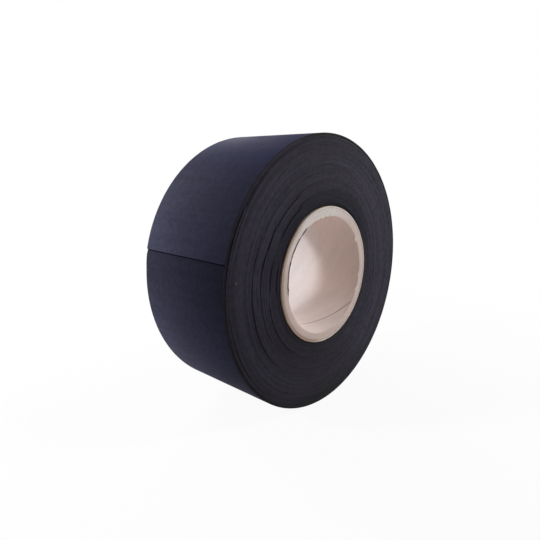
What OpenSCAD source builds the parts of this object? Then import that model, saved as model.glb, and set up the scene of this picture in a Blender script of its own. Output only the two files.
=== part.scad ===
// Roll of rubber membrane strip, wound on a paper core and lying on its side.
// The roll's axis runs along Y and its front end faces -Y. The origin is on the
// axis, in the core's bore, midway across the last lap. Angles on an end are
// counted from the right (+X) over the top (+Z), as seen from the front.

/* [Rubber strip] */
// Width of the strip
strip_w = 70; // [30:1:150]
// Thickness of the strip
strip_t = 0.75; // [0.5:0.05:1.5]
// Number of turns wound on the core
turns = 59; // [12:1:90]
// Angle at which the free end of the strip lies
tail_angle = 167; // [0:1:359]

/* [Winding] */
// How far the first turn stands out past the last one at the front
telescope = 0.5; // [0:0.1:4]
// How far a single turn wanders to either side
wander = 0.15; // [0:0.05:0.5]
// How far the outermost lap lies behind the lap under it
lap_step = 0.25; // [0.1:0.05:0.6]
// Easing of the strip's cut edges, which leaves a groove between turns
edge_ease = 0.12; // [0.05:0.01:0.2]

/* [Paper core] */
// Bore of the core
bore_d = 76.2; // [25.4:0.1:152.4]
// Wall of the core
core_wall = 6; // [2:0.5:15]
// How much longer the core is than the strip is wide
core_extra = 0; // [-5:0.5:20]
// How far the core is pushed out of the winding at the front
core_shift = 1.5; // [0:0.1:4]
// Bevel on the inner edge of the core's rims
bore_bevel = 0.8; // [0.2:0.1:1.5]
// Bevel on the outer edge of the core's rims
rim_bevel = 0.3; // [0.1:0.1:0.6]

/* [Fit] */
// Clearance between the core and the first turn
wind_gap = 0.02; // [0.01:0.01:0.1]

/* [Hidden] */
$fn = 180;

bore_r = bore_d / 2;
core_r = bore_r + core_wall;
first_r = core_r + wind_gap;
roll_r = first_r + turns * strip_t;

// The last laps follow the strip's spiral, and the rest are plain rings.
spiral_laps = 3;
rings = turns - spiral_laps;

// Where the winding drops back towards its outside, as shares of the turns, and
// how far it drops there. Between the drops the turns creep out again.
drops = [
    [0.07, 0.30], [0.19, 0.50], [0.36, 0.55], [0.51, 0.45],
    [0.63, 0.30], [0.75, 0.25], [0.87, 0.35], [0.92, 0.25]
];

// Angles that spread the wander over the turns without a visible rhythm
wander_fast = 137.5;
wander_slow = 31;

// Total of a list of lengths
function total(v) = v * [for (length = v) 1];

// How far the winding has dropped back inside turn i
function dropped(i) = total([for (d = drops) d[0] * turns <= i ? d[1] : 0]);

// How far the turns creep out in a turn, so that the last lap ends at strip_w / 2
creep = (dropped(turns) + lap_step - telescope) / turns;

// How far turn i wanders to the front
function sway(i) = wander * (sin(wander_fast * i) + cos(wander_slow * i)) / 2;

// Place of turn i's front edge along the axis
function front_z(i) = strip_w / 2
    + max(telescope + creep * i - dropped(i) + sway(i), 0);

// Inner radius of turn i
function turn_r(i) = first_r + i * strip_t;

// Bottom of the groove on the outside of turn i, with the end facing up
function groove_z(i, z) = min(z[i], z[i + 1 < rings ? i + 1 : i]) - edge_ease;

// One end of the rings as a line of points: two on each turn's cut edge, and
// one in the groove outside it. z holds the turns' heights.
function end_line(z) = [
    [first_r, z[0] - edge_ease],
    for (i = [0 : rings - 1]) each [
        [turn_r(i) + edge_ease, z[i]],
        [turn_r(i + 1) - edge_ease, z[i]],
        [turn_r(i + 1), groove_z(i, z)]
    ]
];

// The strip has one width, so the back end repeats the front end's steps
// the other way round.
front_heights = [for (i = [0 : rings - 1]) front_z(i)];
back_heights = [for (i = [0 : rings - 1]) strip_w - front_z(i)];
front_line = end_line(front_heights);
back_line = [for (p = end_line(back_heights)) [p[0], -p[1]]];
last_point = len(back_line) - 1;
ring_section = concat(front_line, [for (i = [last_point : -1 : 0]) back_line[i]]);

// Half of a lap's outline, on one side of the line through the free end.
// The centre lies off the axis by shift, away from the free end if negative.
module half_lap(r, shift, side) {
    intersection() {
        translate([shift, 0])
            circle(r);
        translate([-2 * r, side > 0 ? 0 : -2 * r])
            square([4 * r, 2 * r]);
    }
}

// Outline of the winding out to radius r at the free end. Two half circles
// with centres half a thickness apart grow it by one thickness in a turn.
module lap_outline(r) {
    rotate(tail_angle) {
        half_lap(r - 3 * strip_t / 4, -strip_t / 4, 1);
        half_lap(r - strip_t / 4, strip_t / 4, -1);
    }
}

// The winding out to radius r, from the back height to the front height
module lap_body(r, back, front) {
    translate([0, 0, back])
        linear_extrude(front - back)
            lap_outline(r);
}

// The outermost laps, with the lap under the last one pushed to the front
module spiral_end() {
    under_r = roll_r - strip_t - edge_ease;
    end_z = strip_w / 2;
    difference() {
        union() {
            lap_body(roll_r, -end_z, end_z);
            lap_body(under_r, 0, end_z + lap_step);
        }
        lap_body(under_r, -end_z - lap_step, -end_z + lap_step);
        translate([0, 0, -strip_w])
            cylinder(r = turn_r(rings), h = 2 * strip_w);
    }
}

// The wound strip
module rubber_tape() {
    color([0.15, 0.15, 0.19])
        rotate([90, 0, 0]) {
            rotate_extrude()
                polygon(ring_section);
            spiral_end();
        }
}

// The wound paper tube
module paper_core() {
    half = (strip_w + core_extra) / 2;
    color([0.80, 0.75, 0.70])
        rotate([90, 0, 0])
            translate([0, 0, core_shift])
                rotate_extrude()
                    polygon([
                        [bore_r, half - bore_bevel],
                        [bore_r + bore_bevel, half],
                        [core_r - rim_bevel, half],
                        [core_r, half - rim_bevel],
                        [core_r, -half + rim_bevel],
                        [core_r - rim_bevel, -half],
                        [bore_r + bore_bevel, -half],
                        [bore_r, -half + bore_bevel]
                    ]);
}

rubber_tape();
paper_core();
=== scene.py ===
"""Roll of rubber membrane tape: the wound rubber strip, its paper core and a stage."""

import math

import bmesh
import bpy
import numpy as np
from bpy.props import (
    FloatProperty,
    FloatVectorProperty,
    IntProperty,
    PointerProperty,
)
from mathutils import Matrix, Vector, noise


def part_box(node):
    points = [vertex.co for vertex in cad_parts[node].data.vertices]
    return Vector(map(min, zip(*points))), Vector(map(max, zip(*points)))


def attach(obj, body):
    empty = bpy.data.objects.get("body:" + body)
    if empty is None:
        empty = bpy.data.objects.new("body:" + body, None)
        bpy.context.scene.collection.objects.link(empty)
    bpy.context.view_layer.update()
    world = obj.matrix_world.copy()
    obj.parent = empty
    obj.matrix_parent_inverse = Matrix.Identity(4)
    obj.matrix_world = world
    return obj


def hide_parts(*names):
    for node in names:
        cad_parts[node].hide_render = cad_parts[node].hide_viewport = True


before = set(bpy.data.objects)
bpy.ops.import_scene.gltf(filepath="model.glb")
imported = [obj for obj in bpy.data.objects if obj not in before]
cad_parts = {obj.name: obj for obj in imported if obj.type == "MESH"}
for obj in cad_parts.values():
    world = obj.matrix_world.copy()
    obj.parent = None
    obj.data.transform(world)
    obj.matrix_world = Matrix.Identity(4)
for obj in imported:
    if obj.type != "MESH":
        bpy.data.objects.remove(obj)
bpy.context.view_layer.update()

bl_info = {
    "name": "Rubber Tape Roll",
    "version": (1, 0, 0),
    "blender": (4, 5, 0),
    "location": "3D View > Sidebar > Tape Roll",
    "description": "Builds a wound roll of rubber strip on a paper core",
    "category": "Object",
}

tape_low, tape_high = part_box("rubber_tape")
core_low, core_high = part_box("paper_core")

MM = 0.001
FULL_TURN = 2 * math.pi

# The core's outer radius and rims come from the frame, and so does the strip's
# width: the last lap lies midway over the origin, and its back edge is the
# roll's back.
CORE_R = (core_high.x - core_low.x) / 2
CORE_FRONT = core_low.y
CORE_BACK = core_high.y
STRIP_W = 2 * round(tape_high.y, 4)
FLOOR_Z = tape_low.z

# The roll's reach to the right gives the strip's thickness.
TURNS = 59
TAIL_ANGLE = math.radians(167)
WIND_GAP = 0.02 * MM  # clearance between the core and the first turn
FIRST_R = CORE_R + WIND_GAP
STRIP_T = (tape_high.x - FIRST_R) / (TURNS - TAIL_ANGLE / FULL_TURN)


# ------------------------------------------ settings


def length_setting(name, description, default, least=0.0):
    """A length that can be set."""
    return FloatProperty(
        name=name, description=description, default=default, min=least, unit="LENGTH"
    )


def angle_setting(name, description, default):
    """An angle that can be set."""
    return FloatProperty(
        name=name, description=description, default=default, subtype="ANGLE"
    )


def colour_setting(name, description, default):
    """A colour that can be set."""
    return FloatVectorProperty(
        name=name,
        description=description,
        default=default,
        min=0.0,
        max=1.0,
        subtype="COLOR",
    )


class RollSizes(bpy.types.PropertyGroup):
    """Sizes of the wound strip"""

    width: length_setting("Strip Width", "Width of the rubber strip", STRIP_W, 0.01)
    thickness: length_setting(
        "Strip Thickness", "Thickness of the rubber strip", STRIP_T, 0.0002
    )
    turns: IntProperty(
        name="Turns",
        description="Number of turns wound on the core",
        default=TURNS,
        min=4,
    )
    first_r: length_setting(
        "Winding Radius", "Radius on which the first turn lies", FIRST_R, 0.005
    )
    tail_angle: angle_setting(
        "Free End Angle",
        "Angle of the strip's free end, from the right over the top",
        TAIL_ANGLE,
    )
    telescope: length_setting(
        "Telescoping",
        "How far the first turn stands out past the last one",
        0.5 * MM,
    )
    wander: length_setting(
        "Wander", "How far a single turn wanders to either side", 0.10 * MM
    )
    lap_step: length_setting(
        "Last Lap Step",
        "How far the last laps lie behind the laps under them",
        0.30 * MM,
    )
    edge_ease: length_setting(
        "Edge Easing",
        "Bevel of the cut edges, which leaves a groove between turns",
        0.12 * MM,
    )
    segments: IntProperty(
        name="Steps a Turn",
        description="Number of straight steps in one turn",
        default=192,
        min=48,
    )


class CoreSizes(bpy.types.PropertyGroup):
    """Sizes of the paper core"""

    wall: length_setting("Core Wall", "Thickness of the core's wall", 6 * MM, 0.001)
    ply: length_setting(
        "Ply Thickness", "Thickness of the outermost ply of paper", 1.05 * MM, 0.0001
    )
    lead: length_setting(
        "Ply Lead", "Length of tube in which a ply runs once round", 146 * MM, 0.02
    )
    seam_angle: angle_setting(
        "Seam Angle",
        "Angle at which the inner ply's seam meets the front rim",
        math.radians(-38.5),
    )
    ragged: length_setting(
        "Ragged Edge",
        "How far the torn edge of the inner ply stands up and in",
        0.3 * MM,
    )


class RubberLook(bpy.types.PropertyGroup):
    """Colours of the rubber"""

    face: colour_setting(
        "Face Colour", "Colour of the strip's face", (0.0318, 0.0306, 0.0502)
    )
    edge: colour_setting(
        "Cut Edge Colour", "Colour of the strip's cut edges", (0.0184, 0.0157, 0.0248)
    )


class BoardLook(bpy.types.PropertyGroup):
    """Colours of the paper core"""

    wall: colour_setting(
        "Bore Colour", "Colour of the paper inside the bore", (0.62, 0.550, 0.520)
    )
    rim: colour_setting("Rim Colour", "Colour of the sawn rim", (0.65, 0.58, 0.55))
    # The outer ply's colour is its brown kraft, darkened as painted shade
    outside: colour_setting(
        "Outer Ply Colour",
        "Colour of the brown paper on the outside of the core",
        (0.345, 0.23, 0.17),
    )


class StageLook(bpy.types.PropertyGroup):
    """Camera and lights"""

    azimuth: angle_setting(
        "Camera Direction",
        "Direction in which the camera looks, from right to back",
        math.radians(43.004),
    )
    drop: angle_setting(
        "Camera Drop", "Angle at which the camera looks down", math.radians(12.728)
    )
    place: FloatVectorProperty(
        name="Camera Place",
        description="Where the camera stands",
        default=(-0.23969, -0.20991, 0.06972),
        subtype="TRANSLATION",
    )
    lens: FloatProperty(
        name="Lens",
        description="Focal length in millimetres on a 36 mm wide sensor",
        default=31.294,
        min=5.0,
    )
    power: FloatProperty(
        name="Lamp Power",
        description="Share of each lamp's own power",
        default=1.0,
        min=0.0,
    )
    surround: FloatProperty(
        name="Surround",
        description="Strength of the light from all round",
        default=0.03,
        min=0.0,
    )


# -------------------------------------- node helpers

NOISE_LOW, NOISE_HIGH = 0.3, 0.7  # the range in which most of a noise lies


class Graph:
    """Short calls that add nodes to a tree and join them up."""

    def __init__(self, tree):
        self.tree = tree

    def add(self, kind, links=(), **settings):
        """A node of a kind, with its settings, and its inputs joined or set."""
        node = self.tree.nodes.new(kind)
        for key, value in settings.items():
            setattr(node, key, value)
        for key, value in dict(links).items():
            self.join(value, node.inputs[key])
        return node

    def join(self, value, socket):
        """Joins an output to a socket, or sets a plain value on it."""
        if isinstance(value, bpy.types.NodeSocket):
            self.tree.links.new(value, socket)
        elif value is not None:
            socket.default_value = value

    def math(self, operation, a, b=None, c=None):
        """The result of a sum, which works in shaders and in geometry."""
        node = self.add("ShaderNodeMath", operation=operation)
        for socket, value in zip(node.inputs, (a, b, c)):
            self.join(value, socket)
        return node.outputs[0]

    def total(self, first, *others):
        """The sum of several values."""
        for other in others:
            first = self.math("ADD", first, other)
        return first

    def times(self, first, *others):
        """The product of several values."""
        for other in others:
            first = self.math("MULTIPLY", first, other)
        return first

    def minus(self, a, b):
        """The difference of two values."""
        return self.math("SUBTRACT", a, b)

    def blend(self, share, a, b):
        """a where share is 0 and b where it is 1, as numbers."""
        node = self.add("ShaderNodeMix", data_type="FLOAT", clamp_factor=True)
        for socket, value in zip((0, 2, 3), (share, a, b)):
            self.join(value, node.inputs[socket])
        return node.outputs[0]

    def tint(self, share, a, b, mode="MIX"):
        """a where share is 0 and b where it is 1, as colours."""
        node = self.add("ShaderNodeMix", data_type="RGBA", blend_type=mode)
        self.join(share, node.inputs[0])
        for socket, value in ((6, a), (7, b)):
            if not isinstance(value, bpy.types.NodeSocket):
                value = (*value[:3], 1.0)
            self.join(value, node.inputs[socket])
        return node.outputs[2]

    def ramp(self, value, low, high, first=0.0, last=1.0, smooth=True):
        """Runs from first to last while value goes from low to high."""
        kind = "SMOOTHSTEP" if smooth else "LINEAR"
        node = self.add("ShaderNodeMapRange", interpolation_type=kind)
        for socket, item in zip(range(5), (value, low, high, first, last)):
            self.join(item, node.inputs[socket])
        return node.outputs[0]

    def swing(self, value, size, middle=0.0):
        """A noise stretched to run from middle - size to middle + size."""
        return self.ramp(value, NOISE_LOW, NOISE_HIGH, middle - size, middle + size)

    def round_curve(self, turn_part, points):
        """A value that follows points of (angle in degrees, value) round the roll."""
        node = self.add("ShaderNodeFloatCurve", {"Value": turn_part})
        curve = node.mapping.curves[0]
        node.mapping.use_clip = False
        tail = math.degrees(TAIL_ANGLE)
        spots = sorted(((angle - tail) / 360 % 1, value) for angle, value in points)
        (first, at_first), (last, at_last) = spots[0], spots[-1]
        share = (1 - last) / (1 - last + first)
        at_end = at_last + (at_first - at_last) * share
        spots = [(0.0, at_end), *spots, (1.0, at_end)]
        for _ in spots[2:]:
            curve.points.new(0.5, 0.5)
        for point, spot in zip(curve.points, spots):
            point.location = spot
            point.handle_type = "VECTOR"
        node.mapping.update()
        return node.outputs[0]

    def triple(self, x, y, z):
        """Three numbers as a vector."""
        links = {"X": x, "Y": y, "Z": z}
        return self.add("ShaderNodeCombineXYZ", links).outputs[0]

    def scaled(self, vector, by):
        """A vector or colour times a number."""
        links = {0: vector, "Scale": by}
        return self.add("ShaderNodeVectorMath", links, operation="SCALE").outputs[0]

    def noise(self, where, scale, detail=3.0, rough=0.6, **settings):
        """Noise between 0 and 1 at a place, or at a number if it is a line."""
        line = settings.get("noise_dimensions") == "1D"
        links = {
            "W" if line else "Vector": where,
            "Scale": scale,
            "Detail": detail,
            "Roughness": rough,
        }
        return self.add("ShaderNodeTexNoise", links, **settings).outputs[0]

    def located(self):
        """A point's place, its x, y and z, and its radius and angle round the axis."""
        place = self.add("ShaderNodeTexCoord").outputs["Object"]
        x, y, z = self.add("ShaderNodeSeparateXYZ", {0: place}).outputs
        radius = self.math("SQRT", self.math("MULTIPLY_ADD", x, x, self.times(z, z)))
        return place, x, y, z, radius, self.math("ARCTAN2", z, x)

    def stretched(self, layout, along):
        """A pattern layout with its second direction scaled."""
        links = {"Vector": layout, "Scale": (1.0, along, 1.0)}
        return self.add("ShaderNodeMapping", links).outputs[0]


def new_group(name, inputs, outputs):
    """An empty node group with number inputs, its graph, input node and output node."""
    tree = bpy.data.node_groups.new(name, "GeometryNodeTree")
    for label in inputs:
        tree.interface.new_socket(label, in_out="INPUT", socket_type="NodeSocketFloat")
    for label, kind in outputs.items():
        tree.interface.new_socket(label, in_out="OUTPUT", socket_type=kind)
    graph = Graph(tree)
    return tree, graph, graph.add("NodeGroupInput"), graph.add("NodeGroupOutput")


def new_material(name):
    """A material with one shader, its graph and that shader."""
    material = bpy.data.materials.new(name)
    material.use_nodes = True
    tree = material.node_tree
    tree.nodes.clear()
    graph = Graph(tree)
    shader = graph.add("ShaderNodeBsdfPrincipled")
    graph.add("ShaderNodeOutputMaterial", {"Surface": shader.outputs[0]})
    return material, graph, shader


def dress(graph, shader, colour, roughness, specular, *relief):
    """Gives a shader its colour, gloss and relief. The relief is the sum of pairs of
    a noise and its height in millimetres."""
    links = {"Base Color": colour, "Roughness": roughness}
    for label, value in {**links, "Specular IOR Level": specular}.items():
        graph.join(value, shader.inputs[label])
    if relief:
        height = graph.total(*(graph.times(value, size) for value, size in relief))
        links = {"Height": height, "Strength": 0.5, "Distance": 1.0 * MM}
        bump = graph.add("ShaderNodeBump", links)
        graph.join(bump.outputs[0], shader.inputs["Normal"])


def link_object(obj):
    """Puts an object in the scene."""
    bpy.context.scene.collection.objects.link(obj)
    return obj


def shade_by_angle(mesh, degrees):
    """Smooth shading, with an edge kept sharp where it turns more than this."""
    mesh.shade_smooth()
    mesh.set_sharp_from_angle(angle=math.radians(degrees))


# ----------------------------------------- materials

SHADED_BELOW_END = math.radians(48)  # how far round below the free end the face is painted darker, as painted shade
CORNER_SHADOW = 0.9 * MM  # width of the painted shadow in the corner under the free end


def rubber_face_material(colour):
    """Matt calendered rubber with a fine grain and faint streaks across the strip."""
    material, graph, shader = new_material("rubber_face")
    place, _, y, z, _, angle = graph.located()
    flat = graph.add("ShaderNodeUVMap", uv_map="strip").outputs[0]
    grain = graph.noise(place, 1500.0)
    cloud = graph.noise(place, 28.0, 3.0, 0.55)
    streak = graph.noise(graph.stretched(flat, 0.04), 260.0)
    blotch = graph.noise(place, 330.0, 2.0, 0.6)
    marks = graph.total(
        graph.swing(grain, 0.10),
        graph.swing(blotch, 0.09),
        graph.swing(cloud, 0.07),
        graph.swing(streak, 0.05),
    )
    # A painted sheen makes the face lighter and greyer towards the back, less so on the
    # top
    across = graph.times(y, 2 / STRIP_W)
    rise = graph.ramp(z, 30 * MM, 80 * MM, 2.15, 1.35)
    painted_back_sheen = graph.total(graph.math("POWER", rise, across), 0.11)
    level = graph.times(graph.total(marks, 1.0), painted_back_sheen)
    # Below the free end the face is painted darker as shade, and darkest as painted
    # shadow in the corner there
    past_end = graph.minus(angle, TAIL_ANGLE)
    past_end = graph.math("FLOORED_MODULO", past_end, FULL_TURN)
    corner_shadow = CORNER_SHADOW / tape_high.x
    for low, high, first in ((corner_shadow / 2, corner_shadow, 0.16), (0.0, SHADED_BELOW_END, 0.60)):
        level = graph.times(level, graph.ramp(past_end, low, high, first, 1.0))
    blue, sheen_grey = (
        graph.triple(*(c * t for c, t in zip(colour, tint)))
        for tint in ((1.0, 0.99, 1.07), (1.0, 1.0, 0.94))
    )
    sheen_hue = graph.tint(graph.ramp(across, -1.0, 1.0), blue, sheen_grey)
    # The top is painted bluer, as a painted reflection of the sky
    sky_tint = graph.ramp(z, 60 * MM, 85 * MM)
    hue = graph.tint(sky_tint, sheen_hue, (1.0, 1.0, 1.28), "MULTIPLY")
    rubber, gloss = graph.scaled(hue, level), graph.swing(cloud, 0.04, 0.54)
    dress(graph, shader, rubber, gloss, 0.004, (grain, 0.05), (streak, 0.04))
    return material


def rubber_edge_material(colour):
    """The strip's knife-cut edges: dull, with knife marks and a little paper dust."""
    material, graph, shader = new_material("rubber_cut_edge")
    place, x, _, z, radius, angle = graph.located()
    turn = graph.add("ShaderNodeAttribute", attribute_name="turn").outputs["Fac"]
    groove = graph.add("ShaderNodeAttribute", attribute_name="groove").outputs["Fac"]
    cosine, sine = graph.math("COSINE", angle), graph.math("SINE", angle)
    swept = graph.triple(turn, cosine, sine)
    swirl = graph.triple(radius, graph.times(cosine, 0.004), graph.times(sine, 0.004))
    each = graph.noise(swept, 0.9, 1.0, 0.5)
    bands = graph.noise(swept, 0.5, 2.0, 0.5)
    grain = graph.noise(place, 1900.0)
    cloud = graph.noise(place, 40.0, 3.0, 0.5)
    blotch = graph.noise(place, 330.0, 2.0, 0.6)
    knife = graph.noise(swirl, 900.0, 3.0, 0.65)
    level = graph.total(
        graph.swing(each, 0.26),
        graph.swing(bands, 0.16),
        graph.swing(grain, 0.10),
        graph.swing(knife, 0.15),
        graph.swing(blotch, 0.18),
        graph.swing(cloud, 0.06),
        # painted shade in the grooves between the turns
        graph.times(groove, -0.30),
        1.0,
    )
    # The first turns are painted dark, as shade in the valley beside the core, reaching
    # furthest out at the top, and the last lap is painted dark, as shade on its rounded
    # edge.
    # The end is painted lighter on the right as painted light, lighter on the far left
    # too, and darker at the bottom and lower left as painted shade.
    near_core = graph.total(turn, graph.ramp(z, -20 * MM, 30 * MM, 0.9, 0.0))
    low_left = graph.math("MULTIPLY_ADD", x, 0.5, z)
    for value, low, high, first, last in (
        (near_core, 1.6, 3.2, 0.10, 1.0),
        (turn, 4.0, 20.0, 0.68, 1.0),
        (turn, 20.0, 30.0, 1.0, 1.12),
        (turn, 42.0, 54.0, 1.0, 0.82),
        (turn, TURNS - 1.15, TURNS - 0.95, 1.0, 0.38),
        (x, -75 * MM, -5 * MM, 1.30, 1.0),
        (x, 0.0, 70 * MM, 1.0, 1.6),
        (z, -88 * MM, -70 * MM, 0.3, 1.0),
        (low_left, -60 * MM, -25 * MM, 0.70, 1.0),
    ):
        level = graph.times(level, graph.ramp(value, low, high, first, last))
    # The last laps on the right are painted nearly black, as painted shade on the
    # roll's rounded outer edge
    laps_out = graph.total(
        graph.ramp(x, 20 * MM, 75 * MM, 1.8, 2.5), graph.minus(turn, TURNS)
    )
    edge_shade = graph.times(
        graph.ramp(laps_out, -0.2, 0.2, 0.0, 0.95), graph.ramp(x, -35 * MM, -5 * MM)
    )
    level = graph.times(level, graph.minus(1.0, edge_shade))
    # The inner turns are bluer and darker at the top, where they mirror the sky
    on_top = graph.times(
        graph.ramp(turn, 5.0, 18.0, 1.0, 0.0), graph.ramp(z, 5 * MM, 40 * MM)
    )
    cool = tuple(c * t for c, t in zip(colour, (0.27, 0.26, 0.50)))
    rubber = graph.scaled(graph.tint(on_top, colour, cool), level)
    # Paper dust from cutting the core: a few tiny pale specks
    links = {"Vector": place, "Scale": 120.0}
    spots = graph.add("ShaderNodeTexVoronoi", links, feature="F1").outputs
    rare = graph.add("ShaderNodeTexWhiteNoise", {"Vector": spots["Color"]})
    dust = graph.times(
        graph.ramp(spots["Distance"], 0.03, 0.06, 1.0, 0.0),
        graph.math("GREATER_THAN", rare.outputs["Value"], 0.93),
        0.5,
    )
    rubber = graph.tint(dust, rubber, (0.30, 0.25, 0.22))
    gloss = graph.swing(knife, 0.065, 0.615)
    dress(graph, shader, rubber, gloss, 0.10, (grain, 0.05), (knife, 0.10))
    return material


def board_material(look):
    """Grey recycled paper: mottled fibre in the bore, a sawn rim, a brown outside."""
    material, graph, shader = new_material("wound_board")
    place, x, y, z, radius, _ = graph.located()
    flat = graph.add("ShaderNodeUVMap", uv_map="ply").outputs[0]
    zones = graph.add("ShaderNodeAttribute", attribute_name="zone").outputs
    parts = graph.add("ShaderNodeSeparateColor", {0: zones["Color"]}).outputs
    rim, outside, crack = parts
    fibres = graph.stretched(flat, 0.6)
    mottle = graph.noise(fibres, 520.0)
    cloud = graph.noise(fibres, 70.0, 3.0, 0.5)
    hair = graph.noise(fibres, 1600.0)
    specks = graph.noise(place, 1300.0, 2.0, 0.5)
    patch = graph.noise(place, 120.0, 2.0, 0.5)
    # The bore is painted browner towards the front, as the warm tint of light bounced
    # round its shaded front
    bounce_tint = graph.times(
        graph.ramp(y, -14 * MM, 14 * MM, 1.0, 0.0),
        graph.ramp(z, -38 * MM, -15 * MM, 0.30, 1.0),
    )
    wall = graph.scaled(
        graph.tint(bounce_tint, look.wall[:], (0.625, 0.492, 0.440)),
        graph.total(
            graph.swing(mottle, 0.04, 1.0),
            graph.swing(cloud, 0.03),
            graph.swing(hair, 0.04),
        ),
    )
    sawn = graph.scaled(
        look.rim[:],
        graph.total(graph.swing(specks, 0.06, 0.99), graph.swing(patch, 0.04)),
    )
    # The rim is palest at the top, and darker and browner lower down and on the left
    rim_top = graph.ramp(graph.math("MULTIPLY_ADD", x, -0.35, z), 16 * MM, 42 * MM)
    darkening = graph.tint(
        graph.ramp(x, -20 * MM, 20 * MM), (0.85, 0.745, 0.70), (0.90, 0.79, 0.75)
    )
    darkening = graph.tint(rim_top, darkening, (1.0, 1.0, 1.0))
    sawn = graph.tint(1.0, sawn, darkening, "MULTIPLY")
    # The outermost ply is painted brown on the left, its kraft colour darkened as
    # painted shade, and as pale as the rim elsewhere
    left = graph.math("MULTIPLY_ADD", z, -0.25, graph.times(x, -0.94))
    left_shade = graph.ramp(left, 10 * MM, 24 * MM)
    ply_shade = graph.times(
        graph.ramp(radius, CORE_R - 3.0 * MM, CORE_R - 1.2 * MM, 0.0, 0.80), left_shade
    )
    sawn = graph.tint(ply_shade, sawn, look.outside[:])
    skin = graph.tint(left_shade, (0.70, 0.60, 0.52), look.outside[:])
    colour = graph.tint(rim, wall, sawn)
    colour = graph.tint(outside, colour, skin)
    colour = graph.tint(zones["Alpha"], colour, (0.72, 0.64, 0.55))
    # The crack share paints the crack near black, as painted shade deep in it, and
    # darkens the seam
    colour = graph.tint(crack, colour, (0.105, 0.068, 0.052))
    sawdust = graph.times(specks, rim)
    relief = (mottle, 0.04), (hair, 0.03), (sawdust, 0.10)
    dress(graph, shader, colour, 0.75, 0.4, *relief)
    return material


# -------------------------------------- rubber strip

# Where the winding drops back towards its outside. Each drop runs round the end
# through points of angle in degrees, distance out from the core in millimetres,
# and how far it drops there in millimetres.
DROPS = (
    ((110, 2.7, 0.10), (160, 2.7, 0.10), (169, 2.7, 0.50), (182, 2.7, 0.50),
     (192, 2.6, 0.10), (214, 2.6, 0.25), (240, 2.6, 0.10)),
    ((60, 8.6, 0.15), (110, 8.7, 0.40), (119, 8.6, 0.45), (124, 7.1, 0.45),
     (144, 7.1, 0.50), (150, 7.4, 0.05), (162, 8.2, 0.10), (166, 8.3, 0.55),
     (180, 8.3, 0.50), (186, 9.6, 0.15), (192, 10.0, 0.55), (205, 10.1, 0.60),
     (230, 9.9, 0.55), (256, 10.0, 0.20)),
    ((80, 16.1, 0.15), (98, 15.9, 0.25), (117, 15.6, 0.40), (121, 14.2, 0.55),
     (142, 14.5, 0.60), (154, 15.2, 0.65), (168, 15.7, 0.65), (180, 15.7, 0.35),
     (206, 15.5, 0.35), (220, 15.4, 0.15)),
    ((124, 21.3, 0.15), (142, 21.3, 0.35), (149, 21.9, 0.35), (157, 22.7, 0.50),
     (170, 22.3, 0.55), (186, 22.6, 0.70), (210, 22.8, 0.70), (224, 22.9, 0.45),
     (242, 23.1, 0.30), (264, 24.2, 0.15)),
    ((60, 24.2, 0.15), (96, 24.2, 0.22), (117, 24.1, 0.22), (125, 23.5, 0.20),
     (142, 23.5, 0.00), (200, 27.7, 0.25), (230, 27.7, 0.15)),
    ((60, 37.2, 0.20), (88, 37.1, 0.40), (100, 37.1, 0.25), (112, 35.0, 0.10),
     (126, 32.8, 0.25), (148, 32.8, 0.25), (160, 32.8, 0.10), (300, 35.0, 0.10)),
    ((96, 40.0, 0.10), (112, 40.1, 0.25), (122, 40.1, 0.10), (150, 40.3, 0.25),
     (156, 40.3, 0.35), (166, 40.3, 0.15), (206, 40.0, 0.35), (234, 40.2, 0.35),
     (250, 40.3, 0.15)),
    ((84, 41.5, 0.20), (106, 41.4, 0.25), (118, 41.0, 0.30), (136, 41.1, 0.50),
     (150, 41.7, 0.50), (164, 42.0, 0.45), (183, 41.9, 0.20), (194, 41.6, 0.25),
     (220, 41.9, 0.40), (236, 41.9, 0.60), (256, 42.2, 0.40)),
)
# How far the first turns lie deeper beside the core
SUNK = ((40, 1.9, 0.2), (64, 1.9, 0.6), (112, 1.9, 0.6), (148, 1.6, 0.35),
        (168, 1.0, 0.1), (250, 1.0, 0.1))
WINDING = 44.2  # depth of the winding that these distances belong to, in mm
LAST_DROP = 0.955  # share of the turns at which the last laps drop
DROP_RUN = 0.1  # half the part of a turn that a drop takes
NOTCH = 0.22 * MM  # how far the free end is undercut
BULGE = 0.4 * MM  # how far the lap swells out just past the free end
CLOSE = 1e-6  # points nearer than this, in metres, are made one
TINY = 1e-8  # edges shorter than this, in metres, are taken out

# The strip's sizes as inputs of its node groups, and the settings they come from
STRIP_INPUTS = {
    "Turns": "turns",
    "Width": "width",
    "Thickness": "thickness",
    "Winding Radius": "first_r",
    "Free End Angle": "tail_angle",
    "Telescoping": "telescope",
    "Wander": "wander",
    "Last Lap Step": "lap_step",
    "Edge Easing": "edge_ease",
    "Steps a Turn": "segments",
}


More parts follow.
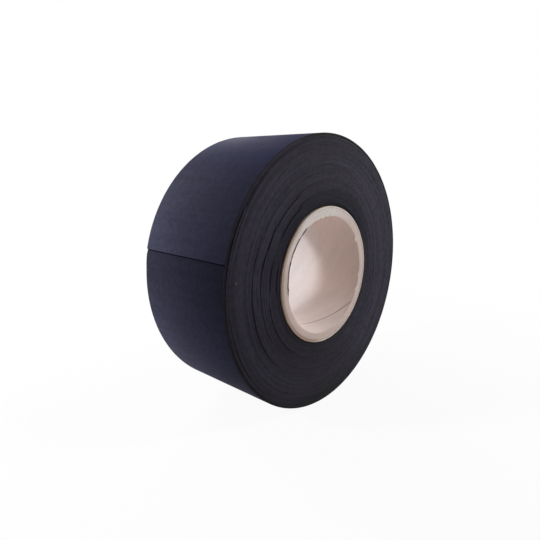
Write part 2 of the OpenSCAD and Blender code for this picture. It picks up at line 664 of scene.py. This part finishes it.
def edge_height_group():
    """Place of the strip's front edge along the axis, at a number of turns wound."""
    tree, graph, given, end = new_group(
        "strip_edge_height", ("Turn", *STRIP_INPUTS), {"Height": "NodeSocketFloat"}
    )
    given = given.outputs
    turn, turns = given["Turn"], given["Turns"]
    part = graph.math("FRACT", turn)
    share = graph.math("DIVIDE", graph.minus(turn, 0.5), turns)

    def followed(points):
        """How far a drop goes at this angle, and 1 on the turns inside it."""
        place = graph.round_curve(part, [(p[0], p[1] / WINDING) for p in points])
        drop = graph.round_curve(part, [(p[0], p[2]) for p in points])
        past = graph.times(graph.minus(share, place), turns)
        return graph.times(drop, MM), graph.ramp(past, -DROP_RUN, DROP_RUN, 1.0, 0.0)

    whole = given["Last Lap Step"]
    last_turn = graph.times(turns, LAST_DROP)
    past = graph.minus(turn, last_turn)
    left = graph.times(whole, graph.ramp(past, -DROP_RUN, DROP_RUN, 1.0, 0.0))
    for points in DROPS:
        drop, inside = followed(points)
        whole = graph.total(whole, drop)
        left = graph.math("MULTIPLY_ADD", drop, inside, left)
    left = graph.minus(left, graph.times(*followed(SUNK)))
    # Between the drops the turns creep out again.
    creep = graph.math("DIVIDE", graph.minus(whole, given["Telescoping"]), last_turn)
    crept = graph.times(creep, graph.math("MAXIMUM", graph.minus(last_turn, turn), 0.0))
    slow = graph.noise(turn, 0.43, 1.0, 0.5, noise_dimensions="1D")
    fast = graph.noise(turn, 1.37, 1.0, 0.5, noise_dimensions="1D")
    sway = graph.times(graph.total(slow, fast, -1.0), given["Wander"], 2.0)
    past = graph.minus(graph.total(left, sway), crept)
    middle = graph.times(given["Width"], 0.5)
    height = graph.total(middle, graph.math("MAXIMUM", past, 0.0))
    graph.join(height, end.inputs["Height"])
    return tree


START_RUN = 0.25  # part of a turn in which the strip's start grows to its width
BULGE_RUN = 0.028  # part of a turn in which the bulge past the free end dies out


def strip_place_group(edge_height):
    """Place of a point of the strip, from its step along the strip, its row on the
    end and its depth.

    Rows 0 and 3 lie in the grooves on the inside and outside of the turn, and
    rows 1 and 2 on its cut edge. Depth runs from 0 at the front to 1 at the back.
    """
    tree, graph, given, end = new_group(
        "strip_place",
        ("Step", "Row", "Depth", *STRIP_INPUTS),
        {"Place": "NodeSocketVector", "Turn": "NodeSocketFloat"},
    )
    given = given.outputs
    step, per_turn, row = given["Step"], given["Steps a Turn"], given["Row"]
    turns, thick = given["Turns"], given["Thickness"]
    ease, first_r = given["Edge Easing"], given["Winding Radius"]
    turn = graph.math("DIVIDE", step, per_turn)

    def height_at(where):
        """The front edge's place along the axis at a number of turns."""
        links = {"Turn": where, **{label: given[label] for label in STRIP_INPUTS}}
        node = graph.add("GeometryNodeGroup", links, node_tree=edge_height)
        return node.outputs["Height"]

    def grooved(neighbour):
        """Front and back of the groove between this turn and a neighbour."""
        low = graph.minus(graph.math("MINIMUM", here, neighbour), ease)
        return low, graph.total(graph.math("MAXIMUM", here, neighbour), ease)

    here = height_at(turn)
    inside = height_at(graph.minus(turn, 1.0))
    outside = height_at(graph.total(turn, 1.0))

    # A turn next to nothing has no neighbour's edge to look at.
    first = graph.math("LESS_THAN", step, graph.minus(per_turn, 0.5))
    last_start = graph.times(graph.minus(turns, 1.0), per_turn)
    last = graph.math("GREATER_THAN", step, graph.total(last_start, 0.5))
    inside = graph.blend(first, inside, here)
    outside = graph.blend(last, outside, here)
    is_outer = graph.math("GREATER_THAN", row, 1.5)
    off_middle = graph.math("ABSOLUTE", graph.minus(row, 1.5))
    in_groove = graph.math("GREATER_THAN", off_middle, 1.0)
    front, back = (
        graph.blend(in_groove, here, low)
        for low in grooved(graph.blend(is_outer, inside, outside))
    )
    # The strip starts as a thin wedge on the core, in the groove.
    grown = graph.ramp(turn, 0.0, START_RUN, smooth=False)
    front, back = (
        graph.blend(grown, start, whole)
        for start, whole in zip(grooved(outside), (front, back))
    )
    back = graph.minus(back, given["Width"])
    y = graph.times(graph.blend(given["Depth"], front, back), -1.0)

    # The lap swells out a little just past the free end, where nothing holds it.
    freed = graph.minus(turn, graph.minus(turns, 1.0))
    step_part = graph.math("DIVIDE", 1.0, per_turn)
    swell = graph.times(
        graph.ramp(freed, 0.0, step_part, smooth=False),
        graph.ramp(freed, step_part, BULGE_RUN, BULGE, 0.0),
    )
    outer_r = graph.total(graph.math("MULTIPLY_ADD", turn, thick, first_r), swell)
    inner_turn = graph.math("MAXIMUM", graph.minus(turn, 1.0), 0.0)
    inner_r = graph.math("MULTIPLY_ADD", inner_turn, thick, first_r)
    own = graph.math("DIVIDE", graph.minus(outer_r, inner_r), thick)
    run = graph.times(graph.math("MINIMUM", own, 1.0), ease)
    from_in = graph.times(graph.math("GREATER_THAN", row, 0.5), run)
    from_out = graph.times(graph.math("LESS_THAN", row, 2.5), run)
    r = graph.blend(
        is_outer, graph.total(inner_r, from_in), graph.minus(outer_r, from_out)
    )
    part = graph.math("DIVIDE", graph.math("FLOORED_MODULO", step, per_turn), per_turn)
    angle = graph.math("MULTIPLY_ADD", part, FULL_TURN, given["Free End Angle"])
    # The free end is cut a little under, just above the turn it lies on.
    before_end = graph.math("MULTIPLY_ADD", turns, per_turn, -0.5)
    is_end = graph.math("GREATER_THAN", step, before_end)
    is_low = graph.math("COMPARE", row, 1.0, 0.1)
    cut_back = graph.times(is_end, is_low, NOTCH)
    angle = graph.minus(angle, graph.math("DIVIDE", cut_back, r))
    x = graph.times(r, graph.math("COSINE", angle))
    z = graph.times(r, graph.math("SINE", angle))
    graph.join(graph.triple(x, y, z), end.inputs["Place"])
    graph.join(turn, end.inputs["Turn"])
    return tree


ROWS_ACROSS = 14.0  # steps across the strip's face
ROWS_ON_EDGE = 3.0  # steps across its cut edge, with the grooves


def wound_strip_group(face, edge):
    """The whole wound strip: both ends, its face, the wall on the core and the free
    end, with its cut edges in a material of their own."""
    place_group = strip_place_group(edge_height_group())
    tree, graph, given, end = new_group(
        "wound_strip", STRIP_INPUTS, {"Geometry": "NodeSocketGeometry"}
    )
    tree.is_modifier = True
    given = given.outputs
    per_turn = given["Steps a Turn"]
    all_steps = graph.times(given["Turns"], per_turn)
    last_lap = graph.minus(all_steps, per_turn)

    def sheet(columns, rows, laid, grooved=False):
        """A grid laid on the strip. laid turns a grid point's column and row into a
        step along the strip, a row on its end and a depth."""
        grid = graph.add("GeometryNodeMeshGrid")
        for label, size in (("X", columns), ("Y", rows)):
            graph.join(size, grid.inputs["Size " + label])
            graph.join(graph.total(size, 1.0), grid.inputs["Vertices " + label])
        where = graph.add("GeometryNodeInputPosition").outputs[0]
        x, y, _ = graph.add("ShaderNodeSeparateXYZ", {0: where}).outputs
        column = graph.math("ROUND", graph.total(x, graph.times(columns, 0.5)))
        row = graph.math("ROUND", graph.total(y, rows / 2))
        step, strip_row, depth = laid(column, row)
        links = {label: given[label] for label in STRIP_INPUTS}
        links |= {"Step": step, "Row": strip_row, "Depth": depth}
        put = graph.add("GeometryNodeGroup", links, node_tree=place_group)
        # The turn and the grooves are kept as numbers for the material.
        off_middle = graph.math("ABSOLUTE", graph.minus(strip_row, 1.5))
        groove = graph.math("GREATER_THAN", off_middle, 1.0) if grooved else 0.0
        kept = grid.outputs["Mesh"]
        for name, value in (("turn", put.outputs["Turn"]), ("groove", groove)):
            links = {"Geometry": kept, "Name": name, "Value": value}
            kept = graph.add("GeometryNodeStoreNamedAttribute", links).outputs[0]
        links = {"Geometry": kept, "Position": put.outputs["Place"]}
        return graph.add("GeometryNodeSetPosition", links).outputs[0]

    def joined(parts):
        """Several meshes as one."""
        node = graph.add("GeometryNodeJoinGeometry")
        for part in parts:
            graph.join(part, node.inputs[0])
        return node.outputs[0]

    def across(row):
        """Depth at a row across the strip's face."""
        return graph.math("DIVIDE", row, ROWS_ACROSS)

    def end_sheet(depth):
        """The strip's cut edge at one end of the roll, with its grooves."""
        return sheet(all_steps, ROWS_ON_EDGE, lambda c, r: (c, r, depth), True)

    def face_sheet(start, row):
        """One lap of the strip's face, from a step onwards."""
        return sheet(
            per_turn, ROWS_ACROSS, lambda c, r: (graph.total(c, start), row, across(r))
        )

    free_end = sheet(ROWS_ON_EDGE, ROWS_ACROSS, lambda c, r: (all_steps, c, across(r)))
    cut = [end_sheet(0.0), end_sheet(1.0), free_end]
    faces = [face_sheet(0.0, 0.0), face_sheet(last_lap, ROWS_ON_EDGE)]
    is_cut = graph.add("GeometryNodeCaptureAttribute", domain="FACE")
    is_cut.capture_items.new("BOOLEAN", "Cut")
    graph.join(joined(cut), is_cut.inputs["Geometry"])
    is_cut.inputs["Cut"].default_value = True
    links = {"Geometry": joined([is_cut.outputs["Geometry"], *faces])}
    merged = graph.add("GeometryNodeMergeByDistance", {**links, "Distance": CLOSE})
    links = {"Geometry": merged.outputs[0]}
    whole = graph.add("GeometryNodeRealizeInstances", links).outputs[0]
    for material, where in ((face, True), (edge, is_cut.outputs["Cut"])):
        links = {"Geometry": whole, "Selection": where, "Material": material}
        whole = graph.add("GeometryNodeSetMaterial", links).outputs[0]
    graph.join(whole, end.inputs["Geometry"])
    return tree


def mesh_from_group(tree, name, values):
    """A plain mesh from a node group, whose inputs get these values by their labels."""
    base = link_object(bpy.data.objects.new(name + "_nodes", bpy.data.meshes.new(name)))
    modifier = base.modifiers.new(name, "NODES")
    modifier.node_group = tree
    for item in tree.interface.items_tree:
        if item.in_out == "INPUT" and item.name in values:
            modifier[item.identifier] = values[item.name]
    graph = bpy.context.evaluated_depsgraph_get()
    mesh = bpy.data.meshes.new_from_object(base.evaluated_get(graph))
    bpy.data.objects.remove(base)
    mesh.name = name
    return mesh


def face_outwards(mesh):
    """Turns every face of a closed mesh outwards, and stops if the mesh is open."""
    work = bmesh.new()
    work.from_mesh(mesh)
    bmesh.ops.dissolve_degenerate(work, dist=TINY, edges=work.edges[:])
    open_edges = sum(not e.is_manifold for e in work.edges)
    if open_edges:
        raise RuntimeError(f"{mesh.name}: {open_edges} edges aren't closed")
    bmesh.ops.recalc_face_normals(work, faces=work.faces[:])
    if work.calc_volume(signed=True) < 0:
        bmesh.ops.reverse_faces(work, faces=work.faces[:])
    work.to_mesh(mesh)
    work.free()
    mesh.update()


def lay_round(mesh, name, radius, start):
    """A pattern layout that is rolled round the axis, from an angle onwards."""
    layer = mesh.uv_layers.new(name=name)
    flat = np.zeros((len(mesh.loops), 2), np.float32)
    for face in mesh.polygons:
        middle = (math.atan2(face.center.z, face.center.x) - start) % FULL_TURN
        for at in face.loop_indices:
            place = mesh.vertices[mesh.loops[at].vertex_index].co
            angle = math.atan2(place.z, place.x) - start
            angle += FULL_TURN * round((middle - angle) / FULL_TURN)
            flat[at] = angle * radius, place.y
    layer.data.foreach_set("uv", flat.ravel())


class TAPE_OT_rubber_strip(bpy.types.Operator):
    """Winds the rubber strip on the core"""

    bl_idname = "tape.rubber_strip"
    bl_label = "Rubber Strip"

    def execute(self, context):
        sizes, look = context.scene.tape_roll, context.scene.tape_rubber
        face = rubber_face_material(look.face[:])
        edge = rubber_edge_material(look.edge[:])
        named = STRIP_INPUTS.items()
        values = {label: float(getattr(sizes, name)) for label, name in named}
        mesh = mesh_from_group(wound_strip_group(face, edge), "rubber_strip", values)
        face_outwards(mesh)
        lay_round(mesh, "strip", tape_high.x, sizes.tail_angle)
        shade_by_angle(mesh, 35)
        strip = link_object(bpy.data.objects.new("rubber_strip", mesh))
        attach(strip, "root")
        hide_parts("rubber_tape")
        return {"FINISHED"}


# ---------------------------------------- paper core

# Torn slivers of the innermost ply at the front: angle and width in degrees,
# and reach over the bore in millimetres
SLIVERS = (
    (106, 8, 0.5),
    (99, 7, 0.75),
    (91, 6, 0.6),
    (84, 4, 0.35),
    (32, 6, 1.0),
    (352, 5, 0.3),
    (336, 4, 0.4),
)
# The innermost ply has come away from the rim here, as middle and width in degrees.
CRACK = (156.5, 68)
# The crack is nearly closed at some places and torn wide, by a share, at others.
CRACK_TIGHT = ((134.5, 7), (158, 3), (187, 2))
CRACK_WIDE = (
    (129, 5, 0.3), (149, 10, 0.3), (161, 5, 0.9), (185, 5, 1.8), (189, 3, 1.6)
)
CRACK_DEEP = 2.2  # depth of the crack in mm
LEAN = (181, 28)  # where the loose ply leans in most, as middle and width in degrees
LEAN_RUN = 14.0  # depth over which the loose ply comes back to the wall, in mm
RIM_DEPTH = 2.0  # depth of the part of the wall that belongs to a rim, in mm
RIM_ROWS, WALL_ROWS, OUTER_ROWS = 8, 30, 14  # rows on the rim, in the bore, outside
COLUMNS = 480  # columns round the tube, which run along its plies
SEAM_HALF = 0.55 * MM  # half the width of the inner ply's seam
SEAM_SUNK = 0.26 * MM  # depth of that seam
SEAM_WORN = 18 * MM  # depth in the bore over which its dirt gets less
SEAM_COLUMNS = (-2.6, -1.0, 0.0, 1.0, 2.6)  # columns at the seam, in half widths
SEAM_REACH = 1.8  # where the seam's groove ends, in half widths


def bump_at(angle, middle, width):
    """1 at an angle, falling to 0 at half a width to either side, all in degrees."""
    off = abs((angle - middle + 180) % 360 - 180)
    return max(0.0, 1 - 2 * off / width)


def rough(angle, rate, seed):
    """Noise between -1 and 1 that closes on itself round the tube."""
    a = math.radians(angle)
    return noise.noise(Vector((math.cos(a) * rate, math.sin(a) * rate, seed)))


def loosened(angle):
    """How far the innermost ply leans in from the bore at the front, in mm."""
    over = min(1.0, 8 * bump_at(angle, *CRACK))
    return 0.3 * over + 0.35 * min(1.0, 2 * bump_at(angle, *LEAN))


def rim_rows(sizes, angle, seed, is_front):
    """The rim from outside to inside at an angle, as radius, depth below the rim's
    plane, and shares of sawn rim, brown outside, painted crack shade and pale fibre."""
    outer, inner = CORE_R / MM, (CORE_R - sizes.wall) / MM
    ply, ragged = sizes.ply / MM, sizes.ragged / MM
    wave = 0.05 * rough(angle, 3.0, seed)
    fine = [0.06 * rough(angle, 24.0, seed + i) for i in range(RIM_ROWS)]
    lift = 0.04 * rough(angle, 7.0, seed + 2.5)
    gap = wide = reach = lean = 0.0
    if is_front:
        wide = max(size * bump_at(angle, *spot) for *spot, size in CRACK_WIDE)
        tight = max(bump_at(angle, *spot) for spot in CRACK_TIGHT)
        gap = min(1.0, 12 * bump_at(angle, *CRACK)) * min(1.0, 0.6 + 0.5 * wide)
        gap *= 1 - 0.85 * tight
        lean = loosened(angle)
        for middle, width, size in SLIVERS:
            reach = max(reach, size * min(1.0, 1.6 * bump_at(angle, middle, width)))
    crack_shade = gap**1.8
    torn = ragged * (0.3 + 0.7 * abs(rough(angle, 18.0, seed + 9.5))) * (1 - 0.8 * gap)
    pale = min(1.0, reach / 0.4)
    reach += 0.25 * ragged * abs(rough(angle, 9.0, seed + 4.5))
    open_by = gap * (1.3 + 4.0 * fine[0] + 0.35 * wide) + 0.6 * lean
    inside = inner - lean
    skin = inside + 0.14 + 0.12 * (1 - gap)
    groove = outer - ply
    # The outer ply is rounded and stands a little proud of the rest.
    rows = [
        (outer, 0.90, 0, 1, 0, 0),
        (outer, 0.40, 0, 1, 0, 0),
        (outer - 0.07, 0.16 + lift, 1, 0.95, 0, 0),
        (outer - 0.22, 0.05 + lift, 1, 0.85, 0, 0.1),
        (groove + 0.20, 0.03 + lift, 1, 0.7, 0, 0.15),
        (groove + 0.05, 0.12 + lift, 1, 0.5, 0.12, 0),
        (groove - 0.08, 0.36, 1, 0.1, 0.5, 0),
        (groove - 0.26, 0.16 + fine[2], 1, 0, 0.03, 0),
    ]
    # The plies between are sawn off roughly, and every third one shows a line.
    start, stop = groove - 0.5, skin + 1.25
    for i in range(RIM_ROWS):
        r = start + (stop - start) * i / (RIM_ROWS - 1)
        line = i % 3 == 1
        step = 0.13 + wave + fine[i] + 0.05 * line
        rows.append((r, step, 1, 0, 0.04 * line, 0))
    # The innermost ply is torn, and stands away from the rim at the crack.
    edge = 0.20 + wave + fine[3]
    floor = edge + CRACK_DEEP * gap
    lip = edge - 0.1 * gap
    rows += [
        (skin + 0.95 + 0.04 * fine[5], edge, 1, 0, 0, 0.2 * pale),
        (skin + 0.08 + open_by, edge + 0.08, 1, 0, 0.4 * crack_shade, 0.3 * pale),
        (skin + 0.06 + open_by * 0.9, floor + 0.10, 1, 0, crack_shade, 0),
        (skin + 0.03, floor + 0.09, 1, 0, crack_shade, 0.5 * pale),
        (skin, lip + 0.04 + 0.3 * torn, 0.6, 0, crack_shade, pale),
        (inside + 0.06 - 0.6 * reach, lip + 0.6 * torn - 0.15 * reach,
         0.4, 0, 0.9 * crack_shade, pale),
        (inside - reach, lip + 0.14 + torn, 0.2, 0, 0.6 * crack_shade, pale),
        (inside - 0.25 * reach, edge + 0.64 + torn + 0.5 * reach,
         0, 0, 0, 0.3 * pale),
        (inner - 0.9 * lean, 1.6, 0, 0, 0, 0),
    ]
    return [(r, max(deep, 0.0), *zone) for r, deep, *zone in rows]


def core_profile(sizes, angle):
    """The tube's whole section at an angle, as radius, y and shares of the zones."""
    front, back = CORE_FRONT / MM, CORE_BACK / MM
    turn_by = 360 * (CORE_BACK - CORE_FRONT) / sizes.lead
    inner = (CORE_R - sizes.wall) / MM
    rows = [(r, front + d, *z) for r, d, *z in rim_rows(sizes, angle, 1.7, True)]
    for i in range(1, WALL_ROWS):
        y = front + RIM_DEPTH + (back - front - 2 * RIM_DEPTH) * i / WALL_ROWS
        flat = max(0.0, 1 - (y - front) / LEAN_RUN)
        rows.append((inner - loosened(angle) * flat, y, 0, 0, 0, 0))
    behind = rim_rows(sizes, angle - turn_by, 7.3, False)
    rows += [(r, back - d, *z) for r, d, *z in behind[::-1]]
    for i in range(1, OUTER_ROWS):
        y = back - 1 - (back - front - 2) * i / OUTER_ROWS
        rows.append((CORE_R / MM, y, 0, 1, 0, 0))
    return rows


def core_mesh(sizes):
    """The tube as columns of points, with its zones and its layout on the ply."""
    inner = CORE_R - sizes.wall
    bore_mid = (CORE_FRONT + CORE_BACK) / 2
    seam_half = SEAM_HALF / inner
    # Extra columns beside the inner ply's seam carve its groove.
    seam = [(part * seam_half) % FULL_TURN for part in SEAM_COLUMNS]
    spread = np.linspace(0, FULL_TURN, COLUMNS, endpoint=False)[2:-1]
    columns = sorted([*seam, *spread])
    points, zones, flats = [], [], []
    for a in columns:
        angle = a + sizes.seam_angle
        near = min(a, FULL_TURN - a)
        share = max(0.0, 1 - near / (SEAM_REACH * seam_half))
        rows = core_profile(sizes, math.degrees(angle))
        for r_mm, y_mm, rim, outside, crack, pale in rows:
            r, y = r_mm * MM, y_mm * MM
            if r < inner + 0.3 * MM:
                r += SEAM_SUNK * share
                darkening = 0.32 + 0.45 * math.exp((CORE_FRONT - y) / SEAM_WORN)
                crack = max(crack, darkening * share)
            turned = angle - FULL_TURN * (y - CORE_FRONT) / sizes.lead
            points.append((r * math.cos(turned), y, r * math.sin(turned)))
            zones.append((rim, outside, crack, pale))
            flats.append((a * inner, y - bore_mid))
    per, count = len(rows), len(columns)
    faces, face_flats = [], []
    for c in range(count):
        n = (c + 1) % count
        for p in range(per):
            q = (p + 1) % per
            corners = (c * per + p, c * per + q, n * per + q, n * per + p)
            faces.append(corners)
            for at in corners:
                u, v = flats[at]
                # The layout's own seam lies on the ply's seam.
                if n == 0 and at < per:
                    u += FULL_TURN * inner
                face_flats.extend((u, v))
    mesh = bpy.data.meshes.new("core_tube")
    mesh.from_pydata(points, [], faces)
    layer = mesh.uv_layers.new(name="ply")
    layer.data.foreach_set("uv", np.array(face_flats, np.float32))
    tints = mesh.attributes.new("zone", "FLOAT_COLOR", "POINT")
    tints.data.foreach_set("color", np.array(zones, np.float32).ravel())
    mesh.update()
    return mesh


class TAPE_OT_paper_core(bpy.types.Operator):
    """Builds the wound paper tube with its plies"""

    bl_idname = "tape.paper_core"
    bl_label = "Paper Core"

    def execute(self, context):
        mesh = core_mesh(context.scene.tape_core)
        mesh.materials.append(board_material(context.scene.tape_board))
        face_outwards(mesh)
        shade_by_angle(mesh, 40)
        tube = link_object(bpy.data.objects.new("core_tube", mesh))
        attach(tube, "root")
        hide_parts("paper_core")
        return {"FINISHED"}


# --------------------------------------------- stage

COOL, PLAIN, WHITE = (0.88, 0.93, 1.0), (1.0, 1.0, 1.0), (1.0, 1.0, 1.0, 1.0)

# Lamps: name, place in metres, size in metres, power in watts and colour
LAMPS = (
    ("high_left", (-0.931, 0.535, 0.512), 0.16, 9.0, COOL),
    ("high_right", (0.460, -0.796, 0.771), 0.20, 5.0, PLAIN),
    ("behind", (0.548, 0.949, 0.488), 0.45, 3.9, PLAIN),
    ("near_behind", (-0.1, 0.45, 0.25), 0.25, 1.4, PLAIN),
    ("low_behind", (0.0, 0.45, 0.05), 0.25, 0.7, PLAIN),
    ("near_right", (0.45, -0.45, 0.15), 0.12, 1.4, PLAIN),
)
FLOOR_R = 4.0  # radius of the floor, in metres
FLOOR_GAP = 0.05 * MM  # how far the floor lies below the roll


def soft_light(name, place, size, power, colour):
    """A square soft light that stands at a place and is turned to the roll."""
    lamp = bpy.data.lights.new(name, "AREA")
    lamp.shape, lamp.size, lamp.energy = "SQUARE", size, power
    lamp.color = colour
    obj = link_object(bpy.data.objects.new(name, lamp))
    obj.location = place
    obj.rotation_euler = Vector(place).to_track_quat("Z", "Y").to_euler()
    obj.visible_camera = False
    return obj


def seen_directly(graph):
    """1 for rays that see a surface directly, in a mirror or through glass."""
    rays = graph.add("ShaderNodeLightPath").outputs
    seen = graph.math("MAXIMUM", rays["Is Camera Ray"], rays["Is Glossy Ray"])
    return graph.math("MAXIMUM", seen, rays["Is Transmission Ray"])


def mixed(graph, share, a, b):
    """a where share is 0 and b where it is 1, as shaders."""
    links = {0: share, 1: a.outputs[0], 2: b.outputs[0]}
    return graph.add("ShaderNodeMixShader", links).outputs[0]


def white_world(strength):
    """Surroundings that look white, and light the roll with a strength."""
    world = bpy.data.worlds.new("white_studio")
    world.use_nodes = True
    graph = Graph(world.node_tree)
    world.node_tree.nodes.clear()
    soft, white = (
        graph.add("ShaderNodeBackground", {"Color": WHITE, "Strength": level})
        for level in (strength, 1.0)
    )
    seen = mixed(graph, seen_directly(graph), soft, white)
    graph.add("ShaderNodeOutputWorld", {"Surface": seen})
    return world


def white_floor():
    """A round floor that looks white but keeps the roll's shadow."""
    work = bmesh.new()
    bmesh.ops.create_circle(work, cap_ends=True, segments=96, radius=FLOOR_R)
    mesh = bpy.data.meshes.new("floor")
    work.to_mesh(mesh)
    work.free()
    mesh.transform(Matrix.Translation((0, 0, FLOOR_Z - FLOOR_GAP)))
    material, graph, shader = new_material("floor_white")
    dress(graph, shader, (0.82, 0.82, 0.82, 1.0), 0.9, 0.0)
    plain = graph.add("ShaderNodeEmission", {"Color": WHITE})
    place = graph.add("ShaderNodeTexCoord").outputs["Object"]
    far = graph.add("ShaderNodeVectorMath", {0: place}, operation="LENGTH").outputs
    share = graph.ramp(far["Value"], 0.15, 0.45, 0.93, 1.0)
    share = graph.times(seen_directly(graph), share)
    end = next(n for n in graph.tree.nodes if n.type == "OUTPUT_MATERIAL")
    graph.join(mixed(graph, share, shader, plain), end.inputs["Surface"])
    mesh.materials.append(material)
    return link_object(bpy.data.objects.new("floor", mesh))


class TAPE_OT_stage(bpy.types.Operator):
    """Sets the floor, the lights and the camera"""

    bl_idname = "tape.stage"
    bl_label = "Stage"

    def execute(self, context):
        scene, look = context.scene, context.scene.tape_stage
        scene.world = white_world(look.surround)
        lights = [
            soft_light(name, place, size, power * look.power, colour)
            for name, place, size, power, colour in LAMPS
        ]
        floor = white_floor()

        camera = bpy.data.cameras.new("camera")
        camera.sensor_width, camera.lens = 36.0, look.lens
        camera.clip_start, camera.clip_end = 0.01, 50.0
        obj = link_object(bpy.data.objects.new("camera", camera))
        obj.location = look.place
        level = math.cos(look.drop)
        ahead = level * math.cos(look.azimuth), level * math.sin(look.azimuth)
        view = Vector((*ahead, -math.sin(look.drop)))
        obj.rotation_euler = view.to_track_quat("-Z", "Y").to_euler()
        scene.camera = obj
        scene.view_settings.view_transform = "Standard"
        return {"FINISHED"}


# --------------------------------------------- panel


class TAPE_PT_panel(bpy.types.Panel):
    """Sizes, colours and build steps of the roll"""

    bl_label = "Tape Roll"
    bl_idname = "TAPE_PT_panel"
    bl_space_type = "VIEW_3D"
    bl_region_type = "UI"
    bl_category = "Tape Roll"

    def draw(self, context):
        scene = context.scene
        for group, button in (
            (scene.tape_roll, None),
            (scene.tape_rubber, TAPE_OT_rubber_strip),
            (scene.tape_core, None),
            (scene.tape_board, TAPE_OT_paper_core),
            (scene.tape_stage, TAPE_OT_stage),
        ):
            column = self.layout.column()
            for item in group.bl_rna.properties:
                if item.identifier not in ("rna_type", "name"):
                    column.prop(group, item.identifier)
            if button:
                column.operator(button.bl_idname)


GROUPS = {
    "tape_roll": RollSizes,
    "tape_core": CoreSizes,
    "tape_rubber": RubberLook,
    "tape_board": BoardLook,
    "tape_stage": StageLook,
}
OPERATORS = (TAPE_OT_rubber_strip, TAPE_OT_paper_core, TAPE_OT_stage)


def register():
    """Registers the classes and gives the scene its settings."""
    for cls in (*GROUPS.values(), *OPERATORS, TAPE_PT_panel):
        bpy.utils.register_class(cls)
    for name, cls in GROUPS.items():
        setattr(bpy.types.Scene, name, PointerProperty(type=cls))


def unregister():
    """Takes the settings and the classes away again."""
    for name in GROUPS:
        delattr(bpy.types.Scene, name)
    for cls in (TAPE_PT_panel, *OPERATORS, *GROUPS.values()):
        bpy.utils.unregister_class(cls)


def main():
    """Builds the roll and its stage."""
    register()
    bpy.ops.tape.rubber_strip()
    bpy.ops.tape.paper_core()
    bpy.ops.tape.stage()


if __name__ == "__main__":
    main()
